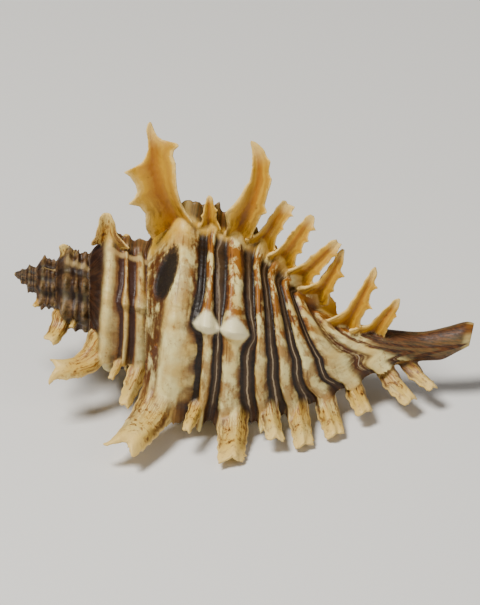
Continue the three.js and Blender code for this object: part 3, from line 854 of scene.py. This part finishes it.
# ---- Material ----
def linear(red, green, blue):
    """Linear colour from a 0 to 255 one."""
    def channel(value):
        v = value / 255
        return v / 12.92 if v <= 0.04045 else ((v + 0.055) / 1.055) ** 2.4
    return (channel(red), channel(green), channel(blue), 1.0)


# The grains: which coordinate, its stretch, then the noise's scale, detail and roughness
GRAINS = {
    "fine lines": ("spiral", (1.0, 0.05, 1.0), 1.6, 3.0, 0.6),
    "mottle": ("spiral", (0.6, 0.22, 1.0), 0.9, 5.0, 0.62),
    "patches": ("grown", (1.0, 1.0, 1.0), 0.16, 3.0, 0.5),
    "speckle": ("grown", (1.0, 1.0, 1.0), 1.1, 4.0, 0.65),
    "across": ("spiral", (0.12, 0.9, 1.0), 1.5, 3.0, 0.55),
    "wobble": ("spiral", (0.3, 0.2, 1.0), 0.8, 5.0, 0.6),
    "web ribs": ("spiral", (1.6, 0.04, 1.0), 1.6, 2.0, 0.5),
    "folds": ("spiral", (0.3, 0.5, 1.0), 1.2, 4.0, 0.55),
    "fibres": ("grown", (0.22, 1.5, 1.5), 1.5, 4.0, 0.62),
    "streaks": ("blade", (1.0, 0.16, 1.0), 1.4, 4.0, 0.6),
    "flecks": ("blade", (0.8, 0.5, 1.0), 1.3, 5.0, 0.65),
    "frond lines": ("blade", (3.2, 0.07, 1.0), 1.3, 2.0, 0.5),
}

# Curves from the middle of one cord to the middle of the next, and across a frond: (place, value)
DARK_PART = ((0.26, 0.0), (0.31, 1.0), (0.69, 1.0), (0.74, 0.0))
RUSTY_PART = ((0.17, 0.0), (0.25, 0.8), (0.32, 1.0), (0.68, 1.0), (0.75, 0.8), (0.83, 0.0))
BROWN_EDGE = ((0.06, 0.0), (0.24, 1.0), (0.76, 1.0), (0.94, 0.0))
DOUBLE_LINE = ((0.31, 0.0), (0.36, 1.0), (0.41, 0.25), (0.59, 0.25), (0.64, 1.0), (0.69, 0.0))
# Across a frond: painted shade, deepest in the gutter and its folds, paler on the flanks.
FROND_GROOVE_SHADE = ((0.2, 0.4), (0.42, 1.0), (0.58, 0.8), (0.68, 0.35), (0.78, 0.6), (0.9, 0.3))


class Graph:
    """Short ways to add and join a material's nodes."""

    def __init__(self, name):
        self.material = bpy.data.materials.new(name)
        self.material.use_nodes = True
        self.tree = self.material.node_tree
        self.tree.nodes.clear()
        self.known = {}

    def node(self, kind, **settings):
        made = self.tree.nodes.new(kind)
        for name, value in settings.items():
            setattr(made, name, value)
        return made

    def put(self, socket, value):
        if isinstance(value, bpy.types.NodeSocket):
            self.tree.links.new(value, socket)
        else:
            socket.default_value = value

    def math(self, operation, *values):
        made = self.node("ShaderNodeMath", operation=operation)
        for i, value in enumerate(values):
            self.put(made.inputs[i], value)
        return made.outputs[0]

    def times(self, *values):
        made = values[0]
        for value in values[1:]:
            made = self.math("MULTIPLY", made, value)
        return made

    def attribute(self, name, output="Fac"):
        if name not in self.known:
            self.known[name] = self.node("ShaderNodeAttribute", attribute_name=name).outputs[output]
        return self.known[name]

    def grain(self, name):
        """One of the noises, made once."""
        if name not in self.known:
            coordinate, stretch, scale, detail, roughness = GRAINS[name]
            stretched = self.node("ShaderNodeVectorMath", operation="MULTIPLY")
            self.put(stretched.inputs[0], self.attribute(coordinate, "Vector"))
            stretched.inputs[1].default_value = stretch
            made = self.node("ShaderNodeTexNoise")
            self.put(made.inputs["Vector"], stretched.outputs[0])
            made.inputs["Scale"].default_value = scale
            made.inputs["Detail"].default_value = detail
            made.inputs["Roughness"].default_value = roughness
            self.known[name] = made.outputs["Fac"]
        return self.known[name]

    def band(self, value, low, high, to_low=0.0, to_high=1.0):
        """A smooth step of an attribute, a grain or a socket."""
        if isinstance(value, str):
            value = self.grain(value) if value in GRAINS else self.attribute(value)
        made = self.node("ShaderNodeMapRange", interpolation_type="SMOOTHSTEP")
        self.put(made.inputs["Value"], value)
        for name, v in (("From Min", low), ("From Max", high), ("To Min", to_low), ("To Max", to_high)):
            self.put(made.inputs[name], v)
        return made.outputs["Result"]

    def mix(self, factor, a, b):
        made = self.node("ShaderNodeMix", data_type="RGBA")
        self.put(made.inputs["Factor"], factor)
        self.put(made.inputs[6], a)
        self.put(made.inputs[7], b)
        return made.outputs[2]

    def paint(self, base, colour, *factors):
        """Lays a colour over a base where all the factors are high."""
        return self.mix(self.times(*factors), base, colour)

    def curve(self, factor, stops):
        """A curve through (place, value) stops, with 0 at both ends."""
        made = self.node("ShaderNodeValToRGB")
        self.put(made.inputs["Fac"], factor)
        elements = made.color_ramp.elements
        elements[1].color = (0, 0, 0, 1)
        for place, value in stops:
            elements.new(place).color = (value, value, value, 1)
        return made.outputs["Color"]

    def finished(self, shader):
        output = self.node("ShaderNodeOutputMaterial")
        self.put(output.inputs["Surface"], shader.outputs[0])
        return self.material


IVORY = linear(234, 220, 152)
CREAM = linear(212, 182, 104)
OCHRE = linear(146, 92, 28)
RUST = linear(80, 42, 12)
UMBER = linear(22, 10, 2)
SLATE = linear(34, 19, 7)
THREAD = linear(168, 148, 118)
HONEY = linear(214, 166, 38)
# painted shade: the darker amber deep in a frond's gutter
HONEY_GROOVE_SHADE = linear(146, 82, 6)
HONEY_PALE = linear(238, 204, 122)
BARK = linear(60, 34, 16)
PEAT = linear(36, 18, 9)
SMOKE = linear(104, 76, 46)
TAWNY = linear(104, 60, 24)
PORCELAIN = linear(240, 230, 184)
BLUSH = linear(200, 148, 104)
PLUM = linear(56, 30, 20)
SMOKE_DARK = linear(50, 30, 14)
FIBRE_DARK = linear(36, 16, 4)
FIBRE_PALE = linear(98, 56, 18)
SAND = linear(208, 172, 80)
INNER_BROWN = linear(72, 52, 32)
FROND_PALE = linear(214, 192, 120)
# painted shade for the valleys between the early ribs
RIB_VALLEY_SHADE = linear(24, 12, 6)
SHELF_TAN = linear(186, 158, 104)
# the hollow by the seam: dark brown deepened to near-black with painted shade
SEAM_BROWN_AND_SHADE = linear(14, 7, 2)


def cord_layer(g):
    """Pale cords with rusty marks, and the dark gaps between them with a thread in each."""
    count, turn, marked = (g.attribute(name) for name in ("cord_count", "turn", "marked"))
    wobble = g.times(g.math("SUBTRACT", g.grain("wobble"), 0.5), 0.2, g.band(count, 5.4, 6.2, 1.0, 0.25))
    part = g.math("FRACT", g.math("ADD", g.math("ADD", count, wobble), 10.0))
    from_middle = g.math("ABSOLUTE", g.math("SUBTRACT", part, 0.5))
    dark = g.curve(part, DARK_PART)

    ground = g.mix(g.band("patches", 0.35, 0.65), IVORY, CREAM)
    ground = g.paint(ground, OCHRE, g.band("mottle", 0.41, 0.58), marked)
    ground = g.paint(ground, RUST, g.band("fine lines", 0.52, 0.66), g.band("mottle", 0.4, 0.56), marked)
    stained = g.math("ADD", g.grain("mottle"), g.times(g.grain("fine lines"), 0.5))
    ground = g.paint(ground, RUST, g.curve(part, RUSTY_PART), g.band(stained, 0.5, 0.8))
    older = g.times(g.band(turn, -0.4, -0.5), g.band("mottle", 0.62, 0.4, 0.35, 0.9))
    ground = g.paint(ground, TAWNY, older, g.curve(part, BROWN_EDGE))
    ground = g.paint(ground, OCHRE, g.band("speckle", 0.55, 0.66), g.band("mottle", 0.44, 0.56, 0.0, 0.6))

    stripe = g.mix(g.band("across", 0.35, 0.7), UMBER, SLATE)
    stripe = g.paint(stripe, INNER_BROWN, g.band(from_middle, 0.15, 0.05), g.band(count, 0.7, 1.2, 0.0, 0.8))
    thread = g.times(g.band(from_middle, 0.035, 0.012), g.band(count, 0.7, 1.2),
                     g.band(turn, -0.24, -0.1, 0.3, 1.0), g.band(turn, -0.95, -0.9))
    stripe = g.mix(g.band(turn, -0.85, -1.0), stripe, PLUM)
    stripe = g.paint(stripe, RUST, g.band(count, 5.6, 6.6), 0.8)
    stripe = g.paint(stripe, THREAD, thread, g.band("fine lines", 0.3, 0.55))

    canal_lines = g.band(count, 5.9, 6.1)
    dark_part = g.math("ADD", g.times(dark, g.math("SUBTRACT", 1.0, canal_lines)),
                       g.times(g.curve(part, DOUBLE_LINE), canal_lines))
    strength = g.times(dark_part, g.attribute("striped"), g.band("mottle", 0.78, 0.62, 0.35, 1.0))
    strength = g.math("MAXIMUM", strength, g.times(thread, g.attribute("striped")))
    return g.mix(strength, ground, stripe), dark


def whorl_layer(g, body, dark):
    """Varix faces, knobs, webs, the seam, ramps, early whorls, canal and the mouth's face."""
    turn = g.attribute("turn")
    sheen = g.mix(g.band("patches", 0.3, 0.6), HONEY_PALE, HONEY)
    body = g.paint(body, sheen, g.attribute("crest"), g.band("amber", 0.1, 0.7, 0.0, 0.85))
    body = g.paint(body, PORCELAIN, g.attribute("pearl"), 0.9)
    # the webs: dark brown, partly painted shade between and under the fronds
    web = g.mix(g.band("web ribs", 0.4, 0.62), PEAT, g.mix(g.band(turn, -0.1, -0.25), BARK, TAWNY))
    body = g.paint(body, web, g.attribute("web_brown_and_shade"), 0.9)

    # the hollow by the seam: brown at its edge, near-black deeper in, partly painted shade in the recess
    seam = g.math("ADD", g.attribute("seam"), g.math("MULTIPLY_ADD", g.grain("speckle"), 1.6, -0.8))
    near_seam = g.times(g.band("seam", 0.0, 0.15), 0.9)
    body = g.paint(body, BARK, g.band(seam, -0.05, 0.35), near_seam)
    body = g.paint(body, SEAM_BROWN_AND_SHADE, g.band(seam, 0.35, 0.85), near_seam)
    folds = g.mix(g.band("folds", 0.42, 0.62), PEAT, BARK)
    body = g.paint(body, folds, g.attribute("ramp"), g.band(turn, -0.35, -0.7))

    old = g.mix(g.band("speckle", 0.35, 0.6), SMOKE_DARK, SMOKE)
    old = g.paint(old, TAWNY, g.band("mottle", 0.58, 0.68), 0.8)
    old = g.paint(old, PEAT, dark, 0.7)
    # painted shade in the valleys between the early whorls' ribs
    round_ribs = g.math("FRACT", g.math("MULTIPLY_ADD", turn, RIBS_PER_TURN, 100.0))
    from_rib = g.math("ABSOLUTE", g.math("SUBTRACT", round_ribs, 0.5))
    old = g.paint(old, RIB_VALLEY_SHADE, g.band(from_rib, 0.24, 0.42), 0.85)
    body = g.paint(body, old, g.attribute("age"), 0.92)
    shelf = g.mix(g.band(turn, -0.7, -1.0), sheen, SHELF_TAN)
    body = g.paint(body, shelf, g.attribute("shelf"), 0.85)

    canal = g.mix(g.band("fibres", 0.36, 0.66), FIBRE_DARK, FIBRE_PALE)
    canal = g.paint(canal, RUST, g.band("speckle", 0.55, 0.75), 0.6)
    body = g.paint(body, canal, g.attribute("canal"), 0.92)
    face = g.mix(g.band("patches", 0.4, 0.7), PORCELAIN, BLUSH)
    return g.paint(body, face, g.attribute("enamel"), 0.85)


def frond_layer(g):
    """Fronds streaked along their length, with painted shade darkening the amber in the groove, pale at their
    edges and tips.
    """
    split = g.node("ShaderNodeSeparateXYZ")
    g.put(split.inputs[0], g.attribute("blade", "Vector"))
    from_middle = g.math("ABSOLUTE", split.outputs[0])
    pale = g.mix(g.band("patches", 0.3, 0.6, 0.1, 1.0), FROND_PALE, SAND)
    pale = g.paint(pale, OCHRE, g.band("flecks", 0.48, 0.64), 0.75)
    pale = g.paint(pale, OCHRE, g.band("frond lines", 0.46, 0.58), g.band("along", 0.75, 0.35))
    pale = g.paint(pale, RUST, g.band("flecks", 0.54, 0.66), g.band("frond lines", 0.4, 0.54))

    across = g.math("ADD", g.times(split.outputs[0], 1 / 6),
                    g.math("MULTIPLY_ADD", g.grain("streaks"), 0.24, 0.38))
    # painted shade across the gutter: darker amber deep in the groove and its folds, paler amber on the
    # flanks
    groove_shade = g.curve(across, FROND_GROOVE_SHADE)
    warm = g.paint(HONEY, HONEY_GROOVE_SHADE, groove_shade, 0.9)
    warm = g.paint(warm, HONEY_PALE, g.band(groove_shade, 0.35, 0.0), 0.7)
    warm = g.paint(warm, RUST, g.band("flecks", 0.6, 0.74), 0.5)

    frond = g.mix(g.band("amber", 0.3, 0.9), pale, warm)
    frond = g.paint(frond, RUST, g.band(from_middle, 1.3, 2.3), g.band("amber", 0.5, 0.2),
                    g.band("along", 0.95, 0.5), g.band("streaks", 0.35, 0.55))
    rim = g.math("MAXIMUM", g.band(from_middle, 2.5, 3.0), g.band("along", 0.72, 1.0))
    frond = g.paint(frond, HONEY_PALE, rim, 0.75)
    return g.paint(frond, RUST, g.band("along", 0.42, 0.1), g.band("streaks", 0.45, 0.62), 0.55)


def shell_material():
    g = Graph("shell_striped_lime")
    on_frond, speckle = g.attribute("on_frond"), g.grain("speckle")
    body, dark = cord_layer(g)
    colour = g.mix(on_frond, whorl_layer(g, body, dark), frond_layer(g))
    throat = g.mix(g.band("patches", 0.35, 0.7), PORCELAIN, BLUSH)
    throat = g.mix(g.attribute("canal"), throat, FIBRE_DARK)
    colour = g.paint(colour, throat, g.attribute("hollow"), 0.95)

    grain = g.math("ADD", g.times(speckle, 0.5), g.times(g.grain("mottle"), 0.5))
    rough = g.band(grain, 0.3, 0.7, 0.34, 0.56)
    rough = g.times(rough, g.math("MULTIPLY_ADD", g.attribute("seam"), 0.5, 1.0))
    lines = g.math("ADD", g.times(g.grain("across"), 0.5), g.times(g.grain("fine lines"), 0.5))
    height = g.math("ADD", g.times(lines, g.math("SUBTRACT", 1.0, on_frond)),
                    g.times(g.grain("streaks"), on_frond))
    height = g.math("ADD", height, g.times(speckle, 0.35))
    bump = g.node("ShaderNodeBump")
    bump.inputs["Strength"].default_value = 0.55
    bump.inputs["Distance"].default_value = 0.00035
    g.put(bump.inputs["Height"], height)

    shader = g.node("ShaderNodeBsdfPrincipled")
    g.put(shader.inputs["Base Color"], colour)
    g.put(shader.inputs["Roughness"], rough)
    g.put(shader.inputs["Normal"], bump.outputs[0])
    shader.inputs["Specular IOR Level"].default_value = 0.35
    shader.inputs["IOR"].default_value = 1.5
    return g.finished(shader)


def floor_material(colour, roughness):
    g = Graph("studio_floor")
    shader = g.node("ShaderNodeBsdfPrincipled")
    shader.inputs["Base Color"].default_value = colour
    shader.inputs["Roughness"].default_value = roughness
    return g.finished(shader)


# ---- Settings, operators and panel ----
class MurexShellSettings(bpy.types.PropertyGroup):
    voxel: bpy.props.FloatProperty(
        name="Skin fineness", description="Side of the cells that the grown skin is fused from",
        default=0.00028, min=0.0001, unit="LENGTH")
    triangles: bpy.props.IntProperty(
        name="Triangles", description="How many triangles the skin keeps", default=196000, min=20000)


class MurexStageSettings(bpy.types.PropertyGroup):
    floor_colour: bpy.props.FloatVectorProperty(
        name="Floor", description="Colour of the plain studio floor", subtype="COLOR", size=4,
        default=(0.80, 0.79, 0.77, 1.0))
    key_power: bpy.props.FloatProperty(
        name="Key light", description="Power of the large soft light above and to the left",
        default=11.5, subtype="POWER")
    fill_power: bpy.props.FloatProperty(
        name="Fill light", description="Power of the soft light on the right", default=1.6, subtype="POWER")


class MUREX_OT_shell(bpy.types.Operator):
    """Grow the shell: body, fronds, mouth and canal fused into one skin"""
    bl_idname = "murex.shell"
    bl_label = "Grow shell"

    def execute(self, context):
        settings = context.scene.murex_shell
        shell = grow_mesh(settings.voxel, settings.triangles)
        paint_attributes(shell.data)
        shell.data.transform(rest_matrix())
        shell.data.materials.clear()
        shell.data.materials.append(shell_material())
        shell.data.shade_smooth()
        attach(shell, "root")
        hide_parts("shell")
        return {"FINISHED"}


def area_light(name, place, size, power, colour):
    data = bpy.data.lights.new(name, "AREA")
    data.shape = "DISK"
    data.size = size
    data.energy = power
    data.color = colour
    light = bpy.data.objects.new(name, data)
    bpy.context.scene.collection.objects.link(light)
    light.location = place
    light.rotation_mode = "QUATERNION"
    light.rotation_quaternion = (Vector(LIGHT_TARGET) - Vector(place)).to_track_quat("-Z", "Y")


LIGHT_TARGET = (0, 0, 0.02)
KEY_PLACE, KEY_SIZE, KEY_COLOUR = (-0.32, -0.22, 0.80), 0.34, (1.0, 0.98, 0.93)
FILL_PLACE, FILL_SIZE, FILL_COLOUR = (0.60, -0.50, 0.45), 0.5, (1.0, 0.97, 0.94)
SKY_COLOUR, SKY_STRENGTH = (1.0, 0.98, 0.95, 1), 0.15
FLOOR_HALF, FLOOR_ROUGHNESS = 6.0, 0.6
SENSOR = 36.0
VIEW_TARGET = (-0.000745, 0.003280, 0.021093)
VIEW_ELEVATION = 29.0
VIEW_DISTANCE = 3.0
VIEW_HEIGHT = 0.1375  # metres from the bottom to the top of the picture at the shell


class MUREX_OT_stage(bpy.types.Operator):
    """Set out the pale floor, the soft lights and the camera"""
    bl_idname = "murex.stage"
    bl_label = "Set stage"

    def execute(self, context):
        scene = context.scene
        settings = scene.murex_stage
        corners = ((-1, -1), (1, -1), (1, 1), (-1, 1))
        mesh = bpy.data.meshes.new("floor")
        mesh.from_pydata([(FLOOR_HALF * a, FLOOR_HALF * b, 0) for a, b in corners], [], [(0, 1, 2, 3)])
        floor = add_object("floor", mesh)
        mesh.materials.append(floor_material(settings.floor_colour, FLOOR_ROUGHNESS))

        area_light("key_light", KEY_PLACE, KEY_SIZE, settings.key_power, KEY_COLOUR)
        area_light("fill_light", FILL_PLACE, FILL_SIZE, settings.fill_power, FILL_COLOUR)
        world = bpy.data.worlds.new("studio")
        scene.world = world
        world.use_nodes = True
        background = world.node_tree.nodes["Background"]
        background.inputs["Color"].default_value = SKY_COLOUR
        background.inputs["Strength"].default_value = SKY_STRENGTH

        data = bpy.data.cameras.new("camera")
        data.type = "PERSP"
        data.sensor_width = SENSOR
        data.lens = SENSOR * VIEW_DISTANCE / VIEW_HEIGHT
        data.clip_start, data.clip_end = 0.05, 100
        camera = bpy.data.objects.new("camera", data)
        scene.collection.objects.link(camera)
        elevation = math.radians(VIEW_ELEVATION)
        back = Vector((0, -math.cos(elevation), math.sin(elevation)))
        camera.location = Vector(VIEW_TARGET) + back * VIEW_DISTANCE
        camera.rotation_mode = "QUATERNION"
        camera.rotation_quaternion = (-back).to_track_quat("-Z", "Y")
        scene.camera = camera
        return {"FINISHED"}


class MUREX_PT_panel(bpy.types.Panel):
    """The shell and its stage in the sidebar"""
    bl_idname = "MUREX_PT_panel"
    bl_label = "Murex Shell"
    bl_space_type = "VIEW_3D"
    bl_region_type = "UI"
    bl_category = "Murex"

    def draw(self, context):
        layout = self.layout
        shell = context.scene.murex_shell
        layout.prop(shell, "voxel")
        layout.prop(shell, "triangles")
        layout.operator(MUREX_OT_shell.bl_idname)
        stage = context.scene.murex_stage
        layout.prop(stage, "floor_colour")
        layout.prop(stage, "key_power")
        layout.prop(stage, "fill_power")
        layout.operator(MUREX_OT_stage.bl_idname)


CLASSES = (MurexShellSettings, MurexStageSettings, MUREX_OT_shell, MUREX_OT_stage, MUREX_PT_panel)


def register():
    for cls in CLASSES:
        bpy.utils.register_class(cls)
    bpy.types.Scene.murex_shell = bpy.props.PointerProperty(type=MurexShellSettings)
    bpy.types.Scene.murex_stage = bpy.props.PointerProperty(type=MurexStageSettings)


def unregister():
    del bpy.types.Scene.murex_stage
    del bpy.types.Scene.murex_shell
    for cls in reversed(CLASSES):
        bpy.utils.unregister_class(cls)


def main():
    register()
    bpy.ops.murex.stage()
    bpy.ops.murex.shell()


if __name__ == "__main__":
    main()
